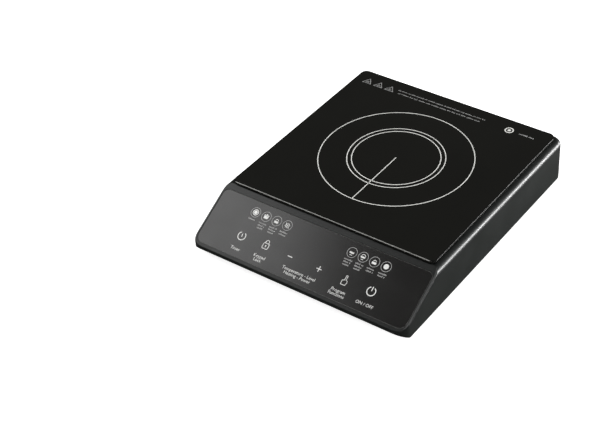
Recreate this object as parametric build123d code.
from build123d import *
import os
from math import cos, pi, radians, sin, sqrt, tan

# A portable electric induction cooktop: one cooking zone under a glass plate, a sloping
# keypad in front of it, and the coil, fan and power electronics in the housing below.
# Millimetres, +Z up, the front (keypad) towards -Y, origin under the middle of the
# object on the surface that it stands on.

# ---- driving dimensions: outside ----
body_width = 296.0
body_depth = 362.8
housing_height = 54.7
corner_radius = 14.0
shoulder_radius = 8.0
slope_angle = 28.5
lip_rise = 9.7
lip_face = 3.7
chin_setback = 13.2
edge_round = 2.4
lip_round = 1.2

# ---- walls ----
side_wall = 2.5
slope_wall = 3.4
deck_wall = 2.5
tray_floor = 2.5
tray_rim_height = 7.0
tray_rim_wall = 2.0

# ---- glass ----
glass_margin = 8.0
glass_thickness = 4.0
glass_corner = 8.0
glass_chamfer = 0.5
seal_thickness = 0.8
seal_width = 5.0
seal_inset = 3.0
slope_drop = 1.5
deck_ledge = 12.0

# ---- keypad ----
panel_rim_side = 3.0
panel_rim_front = 5.2
panel_rim_rear = 6.9
panel_recess = 1.2
overlay_thickness = 0.6
overlay_gap = 0.1
panel_corner_front = 10.0
panel_corner_rear = 7.0
legend_shift = -2.0
key_names = ["timer", "lock", "minus", "plus", "mode", "power"]
key_pitch = 35.0
key_group_gap = 40.0
key_row = 26.5
lamp_pitch = 15.2
lamp_group_half = 67.5
lamp_row = 59.0
key_diameter = 11.4
key_clearance = 0.3
key_flange_overlap = 1.3
key_flange_thickness = 1.0
key_film_gap = 0.05
key_travel = 0.3
stem_diameter = 3.2
switch_size = 6.2
switch_height = 3.5
switch_gap = 0.8

# ---- rear exhaust ----
exhaust_slots = 17
exhaust_start = 12.0
exhaust_pitch = 6.6
exhaust_width = 3.2
exhaust_height = 22.0
exhaust_level = 33.0

# ---- feet and screws ----
foot_height = 5.0
foot_diameter = 24.0
foot_plug = 8.0
foot_inset_side = 30.0
foot_inset_front = 46.0
foot_inset_rear = 32.0
screw_shank = 3.0
screw_head = 6.0
screw_head_height = 2.2
screw_clearance = 0.4
boss_diameter = 8.0
boss_inset = 13.0

# ---- boards ----
board_thickness = 1.6
power_board_width = 150.0
power_board_length = 118.0
power_board_lift = 6.5
power_board_gap = 18.0
board_hole_inset = 6.0
board_screw_length = 6.5
control_board_width = 226.0
control_board_front = 18.0
control_board_rear = 7.5
ribbon_width = 18.0
ribbon_thickness = 0.9
ribbon_row = 39.0

# ---- fan ----
fan_size = 85.0
fan_height = 24.0
fan_lift = 3.0
fan_bore = 79.0
fan_tip_clearance = 1.5
fan_hub = 34.0
fan_blades = 9
fan_gap_left = 19.0
fan_shaft = 3.0
duct_wall = 1.8
duct_gap = 0.6
shaft_clearance = 0.04

# ---- coil ----
coil_outer = 178.0
coil_inner = 44.0
wire_pitch = 3.35
wire_diameter = 3.6
former_thickness = 3.0
former_wall = 2.0
former_air_gap = 3.0
mica_thickness = 0.6
ferrite_bars = 8
ferrite_clearance = 5.0
ferrite_width = 12.0
ferrite_height = 5.0
former_lugs = 4
lug_reach = 8.0
post_diameter = 9.0
sensor_bead = 4.0
cap_roof = 1.5

# ---- on the power board: places are distances from its centre ----
device_height = 5.0
device_pitch = 44.0
transistor_size = (16.0, 21.0)
rectifier_size = (29.0, 20.0)
header_height = 8.0
header_size = (8.0, 6.0)
fan_header = (-70.0, -42.0)
sensor_header = (-48.0, -52.0)
cable_header = (48.0, -55.0)
sink_at = (-42.0, 0.0)
sink_width = 48.0
sink_length = 84.0
sink_height = 20.0
sink_base = 4.0
sink_fins = 9
sink_fin = 1.6
sink_leg = 3.0
choke_at = (52.0, 32.0)
choke_outer = 30.0
choke_inner = 14.0
choke_height = 13.0
choke_lift = 2.6
choke_turns = 16
choke_wire = 1.4
choke_wire_gap = 0.3
transformer_at = (52.0, -30.0)
transformer_width = 24.0
transformer_length = 20.0
transformer_height = 20.0
transformer_bar = 4.0
can_sizes = ((28.0, -46.0, 10.0, 18.0), (14.0, -46.0, 8.0, 14.0), (68.0, -46.0, 8.0, 14.0))
big_capacitor_size = (20.0, 34.0, 23.0)
smoothing_at = (6.0, 20.0)
resonance_at = (6.0, -20.0)
small_capacitor_size = (12.0, 26.0, 18.0)
interference_at = (30.0, -6.0)
capacitor_edge = 0.8
varistor_at = (26.0, 47.0)
varistor_diameter = 13.0
varistor_thickness = 4.5
varistor_level = 8.0
fuse_at = (52.0, 53.0)
fuse_length = 20.0
fuse_diameter = 5.2
fuse_level = 5.0
terminal_places = ((-6.0, -52.0), (-22.0, -52.0))
terminal_diameter = 8.0
terminal_height = 7.0

# ---- on the control board: places are in the keypad's frame ----
display_width = 36.0
display_length = 11.0
display_clearance = 1.0
display_flange = 3.0
guide_length = 9.0
guide_bore = 5.0
lamp_diameter = 3.0
lamp_height = 2.5
lamp_hole = 4.0
sounder_at = (-79.0, 47.0)
sounder_diameter = 17.0
sounder_height = 6.0
processor_at = (30.0, 43.0)
processor_size = (14.0, 10.0, 2.2)

# ---- wiring ----
coil_lead = 3.2
coil_lead_bend = 4.0
coil_lead_start = -30.0
coil_lead_pitch = 7.0
mains_lead = 2.4
mains_lead_pitch = 3.4
mains_lead_clearance = 1.4
signal_lead = 2.0
lead_bend = 2.2

# ---- cord entry ----
cord_bore = 7.6
gland_body = 12.0
gland_flange = 19.0
gland_flange_thickness = 1.2
gland_length = 14.0
gland_offset = -96.0
gland_rise = 22.0
block_setback = 40.0
block_depth = 16.0
block_width = 30.0
block_height = 14.0
block_pitch = 9.5
block_bore = 4.2

# ---- levels and centres worked out from the sizes above ----
floor_level = foot_height
deck_top = floor_level + housing_height
glass_bottom = deck_top + seal_thickness
glass_top = glass_bottom + glass_thickness
tray_top = floor_level + tray_floor
rear_edge = body_depth / 2
front_edge = -body_depth / 2
slope_run = tan(radians(slope_angle))
slope_foot = floor_level + lip_rise + lip_face
slope_top = glass_bottom - slope_drop
glass_front = front_edge + (slope_top - slope_foot) / slope_run
glass_width = body_width - 2 * glass_margin
glass_length = rear_edge - glass_margin - glass_front
glass_centre = glass_front + glass_length / 2
panel_length = (glass_front - front_edge) / cos(radians(slope_angle)) - panel_rim_front - panel_rim_rear
mica_bottom = glass_bottom - former_air_gap - mica_thickness
former_bottom = mica_bottom - former_thickness - wire_diameter
overlay_width = body_width - 2 * panel_rim_side - 2 * overlay_gap
overlay_length = panel_length - 2 * overlay_gap
key_flange = key_diameter + 2 * key_flange_overlap
control_board_start = key_row - control_board_front
control_board_length = lamp_row + control_board_rear - control_board_start
ferrite_length = (coil_outer - coil_inner) / 2 - ferrite_clearance
board_low = tray_top + power_board_lift
board_top = board_low + board_thickness


def slope_level(y, inset=0.0):
    """Height of the sloping front face at y, moved inwards by inset."""
    return slope_foot + (y - front_edge) * slope_run - inset / cos(radians(slope_angle))


def chin_foot(inset=0.0):
    """Y where the undercut chin meets the floor level, moved inwards by inset."""
    face = sqrt(chin_setback**2 + lip_rise**2)
    return front_edge + chin_setback + inset * face / lip_rise


# The keypad's own frame: x to the right, y up the slope, z out of the face.
panel_start = front_edge + panel_rim_front * cos(radians(slope_angle))
panel_frame = Plane(
    origin=(0, panel_start, slope_level(panel_start)),
    x_dir=(1, 0, 0),
    z_dir=(0, -sin(radians(slope_angle)), cos(radians(slope_angle))),
)
wall_under = -slope_wall
switch_top = wall_under - key_flange_thickness - key_film_gap - switch_gap
board_face = switch_top - switch_height
board_back = board_face - board_thickness


# ---- small helpers ----
def at(x, y, z):
    """A place in the object's frame."""
    return Pos(x, y, z)


def block(size_x, size_y, low, high, x=0.0, y=0.0):
    """An upright block between two heights, centred on x, y."""
    return at(x, y, low) * Box(size_x, size_y, high - low, align=(Align.CENTER, Align.CENTER, Align.MIN))


def rod(diameter, low, high, x=0.0, y=0.0):
    """An upright round bar between two heights."""
    return at(x, y, low) * Cylinder(
        diameter / 2, high - low, align=(Align.CENTER, Align.CENTER, Align.MIN)
    )


def tube(outer, inner, low, high, x=0.0, y=0.0):
    """An upright round tube."""
    return rod(outer, low, high, x, y) - rod(inner, low - 1, high + 1, x, y)


def side_prism(points, width):
    """A prism across the body, from its outline in y and z."""
    face = make_face(Polyline([(0, y, z) for y, z in points], close=True))
    return extrude(face, amount=width / 2, dir=(1, 0, 0), both=True)


def on_panel(shape):
    """Move a shape drawn in the keypad's frame to its place."""
    return panel_frame.location * shape


def wire(points, diameter, bend):
    """A round wire along straight runs joined by arcs."""
    path = FilletPolyline(*points, radius=bend)
    return sweep(Plane(origin=path @ 0, z_dir=path % 0) * Circle(diameter / 2), path=path)


def screw(length, head_at, x, y, down=True):
    """A round-headed screw whose head seats at head_at; down says which way its shank points."""
    way = 1 if down else -1
    head = at(x, y, head_at + way * screw_head_height / 2) * Cylinder(screw_head / 2, screw_head_height)
    shank = at(x, y, head_at - way * length / 2) * Cylinder(screw_shank / 2, length)
    slot_z = head_at + way * screw_head_height
    slot = at(x, y, slot_z) * (Box(4, 0.8, 1.6) + Box(0.8, 4, 1.6))
    return head + shank - slot


# ---- housing envelope ----
def envelope(inset, slope_inset, top):
    """The housing's outside form moved inwards by inset, up to a height, closed below."""
    plan = RectangleRounded(body_width - 2 * inset, body_depth - 2 * inset, corner_radius - inset)
    form = at(0, 0, floor_level) * extrude(plan, amount=top - floor_level)
    form = fillet(form.edges().group_by(Axis.Z)[-1], shoulder_radius - inset)
    reach = body_depth
    slope = [
        (front_edge - reach, slope_level(front_edge - reach, slope_inset)),
        (rear_edge, slope_level(rear_edge, slope_inset)),
        (rear_edge, slope_level(rear_edge, slope_inset) + reach),
        (front_edge - reach, slope_level(rear_edge, slope_inset) + reach),
    ]
    form -= side_prism(slope, 2 * body_width)
    foot = chin_foot(inset)
    run = chin_setback / lip_rise
    chin = [
        (foot + run * 5, floor_level - 5),
        (foot - run * 60, floor_level + 60),
        (foot - run * 60 - reach, floor_level + 60),
        (foot - run * 60 - reach, floor_level - 5),
    ]
    return form - side_prism(chin, 2 * body_width)


def slope_edges(form):
    """The outer edges round the sloping face, but not its edge at the deck."""
    middle = slope_foot / 2 + floor_level / 2
    chosen = []
    for edge in form.edges():
        box = edge.bounding_box()
        flat_across = box.size.Y < 0.01 and box.size.Z < 0.01
        if flat_across and box.min.Y > front_edge + 1:
            continue
        points = (edge @ 0, edge @ 0.5, edge @ 1)
        if box.min.Z > middle and all(abs(point.Z - slope_level(point.Y)) < 0.01 for point in points):
            chosen.append(edge)
    return chosen


def chin_edges(form):
    """The edge between the lip's front face and the undercut chin, round both corners."""
    chosen = []
    for edge in form.edges():
        points = (edge @ 0, edge @ 0.5, edge @ 1)
        drop = [floor_level + lip_rise - point.Z for point in points]
        on_chin = all(
            abs(point.Y - front_edge - fall * chin_setback / lip_rise) < 0.01
            for point, fall in zip(points, drop)
        )
        if on_chin and edge.bounding_box().max.Z > floor_level + 0.01:
            chosen.append(edge)
    return chosen


def boss_places():
    """Where the housing's screw bosses stand: pairs along both sides and one at each end."""
    side = body_width / 2 - boss_inset
    rows = [front_edge + 38, glass_centre, rear_edge - boss_inset - 3]
    return [(x, y) for x in (-side, side) for y in rows]


def top_housing():
    """The moulded upper housing: deck, shoulders, side walls and the sloping keypad wall."""
    shell = envelope(0, 0, deck_top)
    shell = fillet(slope_edges(shell), edge_round)
    shell = fillet(chin_edges(shell), lip_round)
    shell -= envelope(side_wall, slope_wall, deck_top - deck_wall) + inner_floor_cut()
    across = glass_width - 2 * deck_ledge
    along = glass_length - 2 * deck_ledge
    shell -= block(across, along, deck_top - 20, deck_top + 5, 0, glass_centre)
    for x, y in boss_places():
        boss = rod(boss_diameter, tray_top + 2.5, deck_top, x, y) & envelope(1, 1, deck_top)
        shell += boss
        shell -= rod(screw_shank, tray_top - 1, tray_top + 16, x, y)
    shell -= on_panel(keypad_recess())
    shell += on_panel(keypad_posts())
    shell -= on_panel(keypad_holes())
    for x in exhaust_places():
        shell -= at(x, rear_edge, exhaust_level) * Box(exhaust_width, 3 * side_wall, exhaust_height)
    shell -= gland_pocket()
    return shell


def inner_floor_cut():
    """A thin layer that opens the cavity downwards, in line with the cavity's own walls."""
    low = Plane.XY.offset(floor_level - 3)
    plan = RectangleRounded(
        body_width - 2 * side_wall, rear_edge - side_wall - chin_foot(side_wall), corner_radius - side_wall
    )
    middle = (rear_edge - side_wall + chin_foot(side_wall)) / 2
    return extrude(low * Pos(0, middle) * plan, amount=3.01)


def exhaust_places():
    """Centres of the exhaust slots in the rear wall."""
    return [exhaust_start + exhaust_pitch * i for i in range(exhaust_slots)]


def gland_pocket():
    """The hole and the shallow seat for the cord gland in the rear wall."""
    hole = Rot(90, 0, 0) * Cylinder(gland_body / 2, 4 * side_wall)
    seat = Rot(90, 0, 0) * Cylinder(gland_flange / 2, 2 * gland_flange_thickness)
    return at(gland_offset, rear_edge, gland_rise) * (hole + seat)


# ---- keypad wall ----
def keypad_outline(width, length):
    """The keypad's outline in its own frame, its lower corners rounder than its upper ones."""
    face = Pos(0, panel_length / 2) * Rectangle(width, length)
    corners = face.vertices().sort_by(Axis.Y)
    face = fillet(corners[:2], panel_corner_front)
    return fillet(face.vertices().sort_by(Axis.Y)[-2:], panel_corner_rear)


def keypad_recess():
    """The shallow recess that holds the printed film."""
    width = body_width - 2 * panel_rim_side
    return extrude(Pos(0, 0, -panel_recess) * keypad_outline(width, panel_length), amount=5)


def key_places():
    """Key centres from left to right in the keypad's frame."""
    first = legend_shift - key_group_gap / 2
    left = [first - key_pitch * i for i in (2, 1, 0)]
    right = [first + key_group_gap + key_pitch * i for i in (0, 1, 2)]
    return [(x, key_row) for x in left + right]


def lamp_places():
    """Indicator lamp centres in the keypad's frame, four on each side of the display."""
    half = [lamp_pitch * (i - 1.5) for i in range(4)]
    return [(legend_shift / 2 + side * lamp_group_half + x, lamp_row) for side in (-1, 1) for x in half]


def keypad_screw_places():
    """Where the control board is screwed up to the keypad wall."""
    across = control_board_width / 2 - board_hole_inset
    low = control_board_start + board_hole_inset
    high = control_board_start + control_board_length - board_hole_inset
    return [(x, y) for x in (-across, across) for y in (low, high)]


def keypad_posts():
    """Posts that the control board is screwed to."""
    posts = [rod(6.5, board_face, wall_under + 0.5, x, y) for x, y in keypad_screw_places()]
    return Compound(children=posts)


def keypad_holes():
    """Openings for the keys, lamps, display and board screws."""
    cuts = [rod(key_diameter + 2 * key_clearance, wall_under - 1, 1, x, y) for x, y in key_places()]
    cuts += [rod(lamp_hole, wall_under - 1, 1, x, y) for x, y in lamp_places()]
    wide = display_width + 2 * display_clearance
    long = display_length + 2 * display_clearance
    cuts += [Pos(legend_shift / 2, lamp_row, wall_under / 2) * Box(wide, long, 2 * slope_wall)]
    cuts += [rod(screw_shank, board_face - 1, wall_under + 0.6, x, y)
             for x, y in keypad_screw_places()]
    return Compound(children=cuts)


def panel_overlay():
    """The printed film over the whole keypad."""
    face = keypad_outline(overlay_width, overlay_length)
    return on_panel(extrude(Pos(0, 0, -panel_recess) * face, amount=overlay_thickness))


def key(x, y):
    """One key under the film: a round head, a flange behind the wall and the switch's stem."""
    top = -panel_recess - key_film_gap
    flange_top = wall_under - key_film_gap
    head = rod(key_diameter, flange_top - key_flange_thickness, top, x, y)
    flange = rod(key_flange, flange_top - key_flange_thickness, flange_top, x, y)
    stem = rod(stem_diameter, switch_top - 1.6, flange_top - key_flange_thickness, x, y)
    return on_panel(head + flange + stem)


def tact_switches():
    """Six tact switches on the control board, each open on top for its key's stem."""
    bodies = []
    for x, y in key_places():
        body = block(switch_size, switch_size, board_face, switch_top, x, y)
        bodies.append(on_panel(body - rod(stem_diameter + 0.8, switch_top - 2.4, switch_top + 1, x, y)))
    return Compound(children=bodies)


def control_board():
    """The printed board behind the keypad."""
    start = control_board_start
    board = block(control_board_width, control_board_length, board_back, board_face, 0,
                  start + control_board_length / 2)
    for x, y in keypad_screw_places():
        board -= rod(screw_shank + screw_clearance, board_back - 1, board_face + 1, x, y)
    return on_panel(board)


def light_guides():
    """Two white blocks with a light well for each lamp."""
    blocks = []
    for group in (lamp_places()[:4], lamp_places()[4:]):
        middle = (group[0][0] + group[-1][0]) / 2
        guide = block(4 * lamp_pitch, guide_length, board_face, wall_under - 0.1, middle, lamp_row)
        for x, y in group:
            guide -= rod(guide_bore, board_face - 1, wall_under + 1, x, y)
        blocks.append(on_panel(guide))
    return Compound(children=blocks)


def indicator_lamps():
    """Eight round lamps on the control board."""
    lamps = []
    for x, y in lamp_places():
        dome = Pos(x, y, board_face + lamp_height) * Sphere(lamp_diameter / 2)
        lamps.append(on_panel(rod(lamp_diameter, board_face, board_face + lamp_height, x, y) + dome))
    return Compound(children=lamps)


def display_module():
    """A four-digit display that fills its window in the keypad wall from behind."""
    x = legend_shift / 2
    wide = display_width + 2 * display_flange
    long = display_length + 2 * display_flange - 1
    body = block(display_width, display_length, board_face, wall_under + 1.2, x, lamp_row)
    return on_panel(body + block(wide, long, board_face, wall_under - 1, x, lamp_row))


def control_buzzer():
    """The round sounder on the control board's back."""
    return on_panel(tube(sounder_diameter, 3, board_back - sounder_height, board_back, *sounder_at))


def control_processor():
    """The control chip on the board's back."""
    wide, long, high = processor_size
    return on_panel(block(wide, long, board_back - high, board_back, *processor_at))


# ---- base tray ----
def tray_form(inset, low, high):
    """A slice of the housing's form between two heights, moved inwards by inset."""
    return envelope(inset, slope_wall, deck_top) & block(2 * body_width, 2 * body_depth, low, high)


def base_tray():
    """The bottom tray with its rim, posts, screw seats, foot sockets and intake grille."""
    fit = side_wall + 0.4
    rim_top = floor_level + tray_rim_height
    tray = tray_form(fit, floor_level, tray_top)
    tray += tray_form(fit, floor_level, rim_top) - tray_form(fit + tray_rim_wall, tray_top, rim_top + 1)
    for x, y in boss_places():
        tray += rod(11, floor_level, tray_top + 2.5, x, y)
    for x, y in power_board_places():
        tray += rod(7, tray_top, tray_top + power_board_lift, x, y)
        tray -= rod(screw_shank, tray_top, tray_top + power_board_lift + 1, x, y)
    for x, y in post_places():
        tray += rod(post_diameter, tray_top, former_bottom, x, y)
        tray -= rod(screw_shank, former_bottom - 14, former_bottom + 1, x, y)
    for x, y in fan_screw_places():
        tray += rod(7, tray_top, tray_top + fan_lift, x, y)
        tray -= rod(screw_shank, floor_level + 0.6, tray_top + fan_lift + 1, x, y)
    for x, y in boss_places():
        tray -= rod(screw_head + 1, floor_level - 1, floor_level + screw_head_height + 0.2, x, y)
        tray -= rod(screw_shank + screw_clearance, floor_level - 1, tray_top + 5, x, y)
    for x, y in foot_places():
        tray -= rod(foot_plug, floor_level - 1, tray_top + 1, x, y)
    return tray - intake_slots()


def intake_slots():
    """Straight slots across a circle under the fan."""
    x0, y0 = fan_centre()
    reach = fan_bore / 2 - 4
    pitch = 6.0
    rows = int(reach / pitch)
    cuts = []
    for i in range(-rows, rows + 1):
        chord = 2 * sqrt(reach**2 - (i * pitch) ** 2)
        cuts.append(block(chord, 3.0, floor_level - 1, tray_top + 1, x0, y0 + i * pitch))
    return Compound(children=cuts)


def foot_places():
    """Foot centres: front left, front right, rear left, rear right."""
    side = body_width / 2 - foot_inset_side
    return [(x, y) for y in (front_edge + foot_inset_front, rear_edge - foot_inset_rear)
            for x in (-side, side)]


def rubber_foot(x, y):
    """A tapered rubber foot with a plug pressed up into the tray."""
    pad = at(x, y, foot_height) * Rot(180, 0, 0) * Cone(
        foot_diameter / 2, foot_diameter / 2 - 2, foot_height, align=(Align.CENTER, Align.CENTER, Align.MIN)
    )
    plug = rod(foot_plug, foot_height, tray_top, x, y)
    cap = rod(foot_plug + 3, tray_top, tray_top + 1.2, x, y)
    return pad + plug + cap - rod(foot_plug - 1, -1, 2, x, y)


def housing_screws():
    """The screws that close the tray to the upper housing."""
    seat = floor_level + screw_head_height + 0.2
    return Compound(children=[screw(11, seat, x, y, down=False) for x, y in boss_places()])


# ---- glass ----
def glass_plate():
    """The glass cooking surface with softened edges."""
    plate = at(0, glass_centre, glass_bottom) * extrude(
        RectangleRounded(glass_width, glass_length, glass_corner), amount=glass_thickness
    )
    return chamfer(plate.edges().group_by(Axis.Z)[-1], glass_chamfer)


def glass_seal():
    """The silicone bead that the glass is bonded on, carried by the deck's ledge."""
    across = glass_width - 2 * seal_inset
    along = glass_length - 2 * seal_inset
    ring = RectangleRounded(across, along, glass_corner)
    ring -= RectangleRounded(across - 2 * seal_width, along - 2 * seal_width, glass_corner / 2)
    return at(0, glass_centre, deck_top) * extrude(ring, amount=seal_thickness)


# ---- coil ----
def post_places():
    """Where the coil former is screwed to the tray's posts."""
    reach = coil_outer / 2 + former_wall + lug_reach
    turn = [pi / 4 + 2 * pi * i / former_lugs for i in range(former_lugs)]
    return [(reach * cos(a), glass_centre + reach * sin(a)) for a in turn]


def coil_former():
    """The plastic carrier under the winding: a disc with two rims, lugs and ferrite pockets."""
    outer = coil_outer + 2 * former_wall
    former = tube(outer, coil_inner - 2 * former_wall - 8, former_bottom, former_bottom + former_thickness,
                  0, glass_centre)
    former += tube(outer, coil_outer + 0.4, former_bottom, mica_bottom, 0, glass_centre)
    former += tube(coil_inner - 0.4, coil_inner - 2 * former_wall, former_bottom, mica_bottom, 0, glass_centre)
    for x, y in post_places():
        former += rod(13, former_bottom, former_bottom + former_thickness, x, y)
    for i in range(former_lugs):
        angle = 45 + 360 * i / former_lugs
        arm = at(0, glass_centre, former_bottom) * Rot(0, 0, angle) * Pos(coil_outer / 2 + lug_reach / 2, 0, 0)
        former += arm * Box(lug_reach + 4, 10, former_thickness,
                            align=(Align.CENTER, Align.CENTER, Align.MIN))
    for x, y in post_places():
        former -= rod(screw_shank + screw_clearance, former_bottom - 1, former_bottom + 9, x, y)
    return former


def coil_winding():
    """The flat winding: touching turns of round litz wire, as one revolved section."""
    turns = int((coil_outer - coil_inner - wire_diameter) / 2 / wire_pitch)
    first = coil_inner / 2 + wire_diameter / 2 + 0.2
    level = former_bottom + former_thickness + wire_diameter / 2
    section = Sketch()
    for i in range(turns):
        section += Plane.XZ * Pos(first + i * wire_pitch, level) * Circle(wire_diameter / 2)
    return at(0, glass_centre, 0) * revolve(section, Axis.Z)


def ferrite_bars_group():
    """Radial ferrite bars glued under the former."""
    bars = []
    for i in range(ferrite_bars):
        turn = Rot(0, 0, 22.5 + 360 * i / ferrite_bars)
        reach = coil_inner / 2 + 2 + ferrite_length / 2
        bar = Box(ferrite_length, ferrite_width, ferrite_height, align=(Align.CENTER, Align.CENTER, Align.MAX))
        bars.append(at(0, glass_centre, former_bottom) * turn * Pos(reach, 0, 0) * bar)
    return Compound(children=bars)


def mica_sheet():
    """The insulating sheet on the former's rims, between the winding and the glass."""
    return tube(coil_outer + 2, 20, mica_bottom, mica_bottom + mica_thickness, 0, glass_centre)


def sensor_holder():
    """The plastic cup in the former's middle that carries the glass temperature sensor."""
    bore = coil_inner - 2 * former_wall - 8
    body = tube(bore - 0.6, 12, former_bottom, former_bottom + former_thickness, 0, glass_centre)
    flange = tube(coil_inner - 2 * former_wall - 0.6, 12, former_bottom + former_thickness,
                  former_bottom + former_thickness + 1.5, 0, glass_centre)
    return body + flange


def sensor_cap():
    """The silicone cap that presses the sensor to the glass from below."""
    low = former_bottom + former_thickness + 1.5
    cap = rod(16, low, glass_bottom, 0, glass_centre)
    return cap - rod(sensor_bead + 1, low - 1, glass_bottom - cap_roof, 0, glass_centre)


def glass_sensor():
    """The sensor bead at the top of the cap's bore."""
    return at(0, glass_centre, glass_bottom - cap_roof - sensor_bead / 2) * Sphere(sensor_bead / 2)


def coil_screws():
    """The screws through the former's lugs."""
    head_at = former_bottom + former_thickness
    return Compound(children=[screw(13, head_at, x, y) for x, y in post_places()])


# ---- fan ----
def fan_centre():
    """The fan's axis, left of the middle and under the coil."""
    return (-body_width / 2 + fan_gap_left + fan_size / 2, glass_centre)


def fan_screw_places():
    """The fan's four screw holes."""
    x, y = fan_centre()
    reach = fan_size / 2 - 5.5
    return [(x + sx * reach, y + sy * reach) for sx in (-1, 1) for sy in (-1, 1)]


def fan_levels():
    """Underside and top of the fan frame."""
    low = tray_top + fan_lift
    return low, low + fan_height


def fan_frame():
    """The square fan frame with its motor seat on four struts."""
    x, y = fan_centre()
    low, high = fan_levels()
    frame = at(x, y, low) * extrude(RectangleRounded(fan_size, fan_size, 5), amount=fan_height)
    frame -= rod(fan_bore, low - 1, high + 1, x, y)
    waist = block(2 * fan_size, 2 * fan_size, low + 4, high - 4, x, y) - tube_core(x, y, low, high)
    frame -= waist
    seat = rod(fan_hub - 4, low, low + 2, x, y)
    for i in range(4):
        strut = at(x, y, low) * Rot(0, 0, 90 * i) * Pos(fan_bore / 4 + 4, 0, 0)
        seat += strut * Box(fan_bore / 2 - 6, 4, 2, align=(Align.CENTER, Align.CENTER, Align.MIN))
    frame += seat
    frame -= rod(6.0, low - 1, low + 3, x, y)
    for sx, sy in fan_screw_places():
        frame -= rod(screw_shank + 1, low - 1, high + 1, sx, sy)
    return frame


def tube_core(x, y, low, high):
    """What is left of the fan frame between its two flanges: a ring and four corner posts."""
    core = rod(fan_bore + 4, low, high, x, y)
    for sx, sy in fan_screw_places():
        core += rod(9, low, high, sx, sy)
    return core


def fan_bearing():
    """The sleeve bearing in the motor seat."""
    x, y = fan_centre()
    low, high = fan_levels()
    return tube(6.0, fan_shaft + 2 * shaft_clearance, low, high - 7, x, y)


def fan_stator():
    """The stator round the bearing: a four-toothed core with its windings."""
    x, y = fan_centre()
    low, high = fan_levels()
    core = tube(10, 6.0, low + 2, high - 8, x, y)
    for i in range(4):
        arm = at(x, y, low + 6) * Rot(0, 0, 45 + 90 * i) * Pos(8, 0, 0)
        core += arm * Box(8, 6, 7, align=(Align.CENTER, Align.CENTER, Align.MIN))
    return core - rod(6.0, low, high, x, y)


def fan_rotor():
    """The fan's rotor: a hub cup open below and its pitched blades."""
    x, y = fan_centre()
    low, high = fan_levels()
    top = high - 1.5
    bottom = low + 3.5
    hub = rod(fan_hub, bottom, top, x, y) - rod(fan_hub - 4, bottom - 1, top - 2.5, x, y)
    hub += rod(6, top - 4.5, top, x, y)
    hub -= rod(fan_shaft, bottom, top - 1.5, x, y)
    tip = fan_bore - 2 * fan_tip_clearance
    span = (tip - fan_hub) / 2 + 3
    blades = []
    for i in range(fan_blades):
        blade = Pos(fan_hub / 2 - 0.8 + span / 2, 0, 0) * Rot(38, 0, 0) * Box(span, 1.6, 22)
        blades.append(at(x, y, (top + bottom) / 2) * Rot(0, 0, 360 * i / fan_blades) * blade)
    ring = tube(tip, fan_hub - 1, bottom + 0.5, top - 1, x, y)
    for blade in blades:
        hub += blade & ring
    return hub


def fan_magnet():
    """The magnet ring inside the rotor's hub."""
    x, y = fan_centre()
    low, high = fan_levels()
    return tube(fan_hub - 4, fan_hub - 8, low + 4.5, high - 7.5, x, y)


def fan_shaft_rod():
    """The steel shaft fixed in the rotor."""
    x, y = fan_centre()
    low, high = fan_levels()
    return rod(fan_shaft, low + 0.4, high - 3.0, x, y)


def fan_screws():
    """The screws that hold the fan to the tray."""
    low, high = fan_levels()
    return Compound(children=[screw(fan_height + fan_lift + 1, high, x, y) for x, y in fan_screw_places()])


# ---- power board and its components ----
def panel_point(x, y, z):
    """A point given in the keypad's frame, in the object's frame."""
    place = (panel_frame.location * Pos(x, y, z)).position
    return place.X, place.Y, place.Z


def power_board_centre():
    """The power board's centre, right of the fan."""
    left = fan_centre()[0] + fan_size / 2 + power_board_gap
    return (left + power_board_width / 2, glass_centre)


def power_board_places():
    """The power board's screw holes."""
    x, y = power_board_centre()
    across = power_board_width / 2 - board_hole_inset
    along = power_board_length / 2 - board_hole_inset
    return [(x + sx * across, y + sy * along) for sx in (-1, 1) for sy in (-1, 1)]


def on_power_board(across, along):
    """A place on the power board as distances from its centre."""
    x, y = power_board_centre()
    return x + across, y + along


def power_board():
    """The power board."""
    x, y = power_board_centre()
    board = block(power_board_width, power_board_length, board_low, board_top, x, y)
    for sx, sy in power_board_places():
        board -= rod(screw_shank + screw_clearance, board_low - 1, board_top + 1, sx, sy)
    return board


def heatsink():
    """An extruded aluminium heatsink that bridges the two power devices."""
    x, y = on_power_board(*sink_at)
    low = board_top + device_height
    sink = block(sink_width, sink_length, low, low + sink_base, x, y)
    for side in (-1, 1):
        sink += block(sink_leg, sink_length, board_top, low, x + side * (sink_width - sink_leg) / 2, y)
    pitch = (sink_width - sink_fin) / (sink_fins - 1)
    for i in range(sink_fins):
        if i != sink_fins // 2:
            place = x - sink_width / 2 + sink_fin / 2 + i * pitch
            sink += block(sink_fin, sink_length, low + sink_base, low + sink_height, place, y)
    for along in device_places():
        sink -= rod(screw_shank, low - 1, low + sink_base + 1, x, y + along)
    return sink


def device_places():
    """Where the two power devices lie along the heatsink."""
    return (-device_pitch / 2, device_pitch / 2)


def power_device(size_x, size_y, along):
    """A flat power device under the heatsink."""
    x, y = on_power_board(*sink_at)
    body = block(size_x, size_y, board_top, board_top + device_height, x, y + along)
    return body - rod(screw_shank, board_top, board_top + device_height + 1, x, y + along)


def film_capacitor(place, size):
    """A boxed film capacitor standing on the power board."""
    x, y = on_power_board(*place)
    body = block(size[0], size[1], board_top, board_top + size[2], x, y)
    return chamfer(body.edges().group_by(Axis.Z)[-1], capacitor_edge)


def choke_core():
    """The ring core of the mains filter choke."""
    x, y = on_power_board(*choke_at)
    low = board_top + choke_lift
    return tube(choke_outer, choke_inner, low, low + choke_height, x, y)


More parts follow.
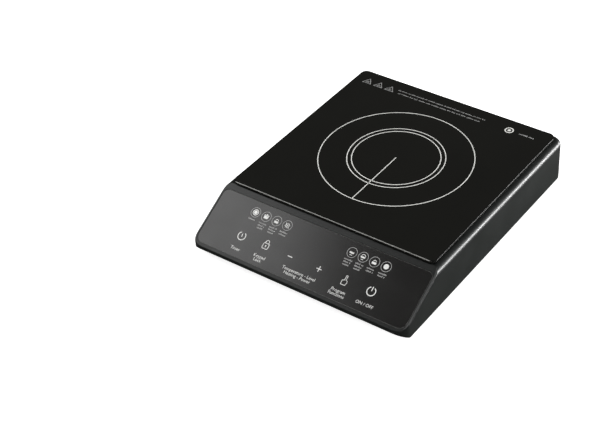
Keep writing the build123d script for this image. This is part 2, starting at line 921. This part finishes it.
def choke_winding():
    """The choke's turns, each a small frame round the core."""
    x, y = on_power_board(*choke_at)
    low = board_top + choke_lift
    middle = (choke_outer + choke_inner) / 4
    inner = (choke_outer - choke_inner) / 2 + 2 * choke_wire_gap
    tall = choke_height + 2 * choke_wire_gap
    frames = []
    for i in range(choke_turns):
        frame = Box(inner + 2 * choke_wire, choke_wire, tall + 2 * choke_wire)
        frame -= Box(inner, 2 * choke_wire, tall)
        place = at(x, y, low + choke_height / 2) * Rot(0, 0, 360 * i / choke_turns) * Pos(middle, 0, 0)
        frames.append(place * frame)
    return Compound(children=frames)


def auxiliary_transformer():
    """The small supply transformer: a ferrite frame round a taped winding."""
    x, y = on_power_board(*transformer_at)
    high = board_top + transformer_height
    window = transformer_width - 1.5 * transformer_bar
    core = block(transformer_width, transformer_length, board_top, high, x, y)
    core -= block(window, 2 * transformer_length, board_top + transformer_bar, high - transformer_bar, x, y)
    low_turn = board_top + transformer_bar - 1
    return core + block(window - 6, transformer_length - 4, low_turn, high - transformer_bar + 1, x, y)


def electrolytic_capacitors():
    """Three round electrolytic capacitors."""
    cans = []
    for across, along, diameter, height in can_sizes:
        x, y = on_power_board(across, along)
        cans.append(rod(diameter, board_top, board_top + height, x, y))
    return Compound(children=cans)


def varistor():
    """The disc varistor, standing on edge across the mains input."""
    x, y = on_power_board(*varistor_at)
    disc = Rot(90, 0, 0) * Cylinder(varistor_diameter / 2, varistor_thickness)
    body = at(x, y, board_top + varistor_level) * disc
    for side in (-1, 1):
        body += block(1, 1, board_top, board_top + varistor_level, x + side * varistor_diameter / 4, y)
    return body


def mains_fuse():
    """The glass-tube fuse on its two wire legs."""
    x, y = on_power_board(*fuse_at)
    level = board_top + fuse_level
    fuse = at(x, y, level) * Rot(0, 90, 0) * Cylinder(fuse_diameter / 2, fuse_length)
    for side in (-1, 1):
        fuse += block(1.2, 1.2, board_top, level, x + side * (fuse_length / 2 - 1), y)
    return fuse


def coil_terminals():
    """Two brass posts on the power board for the coil's leads."""
    posts = []
    for across, along in terminal_places:
        x, y = on_power_board(across, along)
        posts.append(rod(terminal_diameter, board_top, board_top + terminal_height, x, y))
    return Compound(children=posts)


def coil_leads():
    """The two leads from the former's underside to the power board's posts."""
    leads = []
    level = board_top + terminal_height + coil_lead / 2
    for i, (across, along) in enumerate(terminal_places):
        x, y = on_power_board(across, along)
        start_x = coil_lead_start - (coil_lead_pitch + 1) * i
        start_y = glass_centre - coil_outer / 2 - former_wall - 4 - coil_lead_pitch * i
        points = [(start_x, start_y, former_bottom + coil_lead / 2), (start_x, start_y, level),
                  (x, start_y, level), (x, y, level)]
        leads.append(wire(points, coil_lead, coil_lead_bend))
    return Compound(children=leads)


def board_screws():
    """Ten equal screws: four in the control board, four in the power board, two in the heatsink."""
    x, y = on_power_board(*sink_at)
    seat = board_top + device_height + sink_base
    screws = [on_panel(screw(board_screw_length, board_back, px, py, down=False))
              for px, py in keypad_screw_places()]
    screws += [screw(board_screw_length, board_top, px, py) for px, py in power_board_places()]
    screws += [screw(board_screw_length, seat, x, y + along) for along in device_places()]
    return Compound(children=screws)


def connector_headers():
    """The white plug headers: fan, sensor and flat cable on the power board, one on the control board."""
    high = board_top + header_height
    headers = []
    for place in (fan_header, sensor_header):
        x, y = on_power_board(*place)
        headers.append(block(*header_size, board_top, high, x, y))
    x, y = on_power_board(*cable_header)
    wide = ribbon_width + 3
    headers.append(block(wide, header_size[1] - 1, board_top, high, x, y))
    headers.append(on_panel(block(wide, header_size[1], board_back - header_height, board_back, x, ribbon_row)))
    return Compound(children=headers)


def air_duct():
    """A cover over the fan, open below and towards the heatsink, that turns the air across it."""
    x, y = fan_centre()
    left = x - fan_size / 2 + 1
    right = power_board_centre()[0] - power_board_width / 2 - 2
    roof = former_bottom - ferrite_height - 1.5
    middle = (left + right) / 2
    duct = block(right - left, fan_size + 2 * duct_gap + 2 * duct_wall, roof - duct_wall, roof, middle, y)
    for side in (-1, 1):
        wall_y = y + side * (fan_size / 2 + duct_gap + duct_wall / 2)
        duct += block(right - left, duct_wall, tray_top, roof, middle, wall_y)
    return duct


# ---- mains entry ----
def cord_gland():
    """The flanged bushing in the rear wall through which the mains cord enters."""
    inner = Rot(90, 0, 0) * Cylinder(
        gland_body / 2, gland_length, align=(Align.CENTER, Align.CENTER, Align.MIN)
    )
    flange = Rot(90, 0, 0) * Cylinder(
        gland_flange / 2, gland_flange_thickness, align=(Align.CENTER, Align.CENTER, Align.MIN)
    )
    bore = Rot(90, 0, 0) * Cylinder(cord_bore / 2, 3 * gland_length)
    return at(gland_offset, rear_edge, gland_rise) * (inner + flange - bore)


def terminal_block():
    """The three-way mains terminal block on the tray, in front of the gland."""
    y = rear_edge - side_wall - block_setback
    high = tray_top + block_height
    body = block(block_width, block_depth, tray_top, high, gland_offset, y)
    for i in (-1, 0, 1):
        body -= rod(block_bore, high - 6, high + 1, gland_offset + block_pitch * i, y)
    return body


def ribbon_cable():
    """The flat cable from the control board's back down to the power board."""
    x, y = on_power_board(*cable_header)
    top = board_top + header_height
    start = panel_point(x, ribbon_row, board_back - header_height)
    below = panel_point(x, ribbon_row, board_back - header_height - 5)
    points = [start, below, (x, below[1] + 30, below[2] + 2),
              (x, y - 22, top + 11), (x, y, top + 11), (x, y, top)]
    path = FilletPolyline(*points, radius=2.4)
    frame = Plane(origin=path @ 0, x_dir=(1, 0, 0), z_dir=path % 0)
    return sweep(frame * Rectangle(ribbon_width, ribbon_thickness), path=path)


def wiring_loom():
    """The mains leads, the fan's lead and the glass sensor's lead."""
    leads = []
    block_front = rear_edge - side_wall - block_setback - block_depth / 2
    post_rear = max(y for x, y in post_places()) + post_diameter / 2
    level = tray_top + 5
    for i in (0, 1):
        x0 = gland_offset + block_pitch * (2 * i - 1)
        x1, y1 = on_power_board(-62 + 9 * i, power_board_length / 2 - 9)
        turn = post_rear + mains_lead_clearance + mains_lead / 2 + mains_lead_pitch * i
        points = [(x0, block_front, level), (x0, turn, level), (x1, turn, level),
                  (x1, turn, board_top + 6), (x1, y1, board_top + 6), (x1, y1, board_top)]
        leads.append(wire(points, mains_lead, lead_bend))
    top = board_top + header_height
    x, y = fan_centre()
    x, y, level = x + fan_size / 2, y - fan_size / 2 + 8, fan_levels()[1] - 2
    hx, hy = on_power_board(*fan_header)
    points = [(x, y, level), (hx, y, level), (hx, hy, level), (hx, hy, top)]
    leads.append(wire(points, signal_lead, lead_bend))
    bead = glass_bottom - cap_roof - sensor_bead
    level = former_bottom - ferrite_height - 2.4
    hx, hy = on_power_board(*sensor_header)
    points = [(0, glass_centre, bead), (0, glass_centre, level), (hx, hy, level), (hx, hy, top)]
    leads.append(wire(points, signal_lead, lead_bend))
    return Compound(children=leads)


parts = {
    "top_housing": top_housing,
    "base_tray": base_tray,
    "glass_plate": glass_plate,
    "glass_seal": glass_seal,
    "panel_overlay": panel_overlay,
    "tact_switches": tact_switches,
    "control_board": control_board,
    "light_guides": light_guides,
    "indicator_lamps": indicator_lamps,
    "display_module": display_module,
    "control_buzzer": control_buzzer,
    "control_processor": control_processor,
    "board_screws": board_screws,
    "housing_screws": housing_screws,
    "coil_former": coil_former,
    "coil_winding": coil_winding,
    "ferrite_bars": ferrite_bars_group,
    "mica_sheet": mica_sheet,
    "sensor_holder": sensor_holder,
    "sensor_cap": sensor_cap,
    "glass_sensor": glass_sensor,
    "coil_screws": coil_screws,
    "fan_frame": fan_frame,
    "fan_bearing": fan_bearing,
    "fan_stator": fan_stator,
    "fan_rotor": fan_rotor,
    "fan_magnet": fan_magnet,
    "fan_shaft": fan_shaft_rod,
    "fan_screws": fan_screws,
    "power_board": power_board,
    "heatsink": heatsink,
    "choke_core": choke_core,
    "choke_winding": choke_winding,
    "auxiliary_transformer": auxiliary_transformer,
    "electrolytic_capacitors": electrolytic_capacitors,
    "varistor": varistor,
    "mains_fuse": mains_fuse,
    "coil_terminals": coil_terminals,
    "coil_leads": coil_leads,
    "ribbon_cable": ribbon_cable,
    "wiring_loom": wiring_loom,
    "connector_headers": connector_headers,
    "air_duct": air_duct,
    "cord_gland": cord_gland,
    "terminal_block": terminal_block,
}


def build_all():
    """Every node's name and shape."""
    shapes = {name: make() for name, make in parts.items()}
    for name, (x, y) in zip(key_names, key_places()):
        shapes[f"key_{name}"] = key(x, y)
    for name, (x, y) in zip(("front_left", "front_right", "rear_left", "rear_right"), foot_places()):
        shapes[f"foot_{name}"] = rubber_foot(x, y)
    shapes["power_transistor"] = power_device(*transistor_size, device_places()[0])
    shapes["bridge_rectifier"] = power_device(*rectifier_size, device_places()[1])
    shapes["smoothing_capacitor"] = film_capacitor(smoothing_at, big_capacitor_size)
    shapes["resonance_capacitor"] = film_capacitor(resonance_at, big_capacitor_size)
    shapes["interference_capacitor"] = film_capacitor(interference_at, small_capacitor_size)
    return shapes


os.makedirs("parts", exist_ok=True)
for node, shape in build_all().items():
    export_step(shape, f"parts/{node}.step")
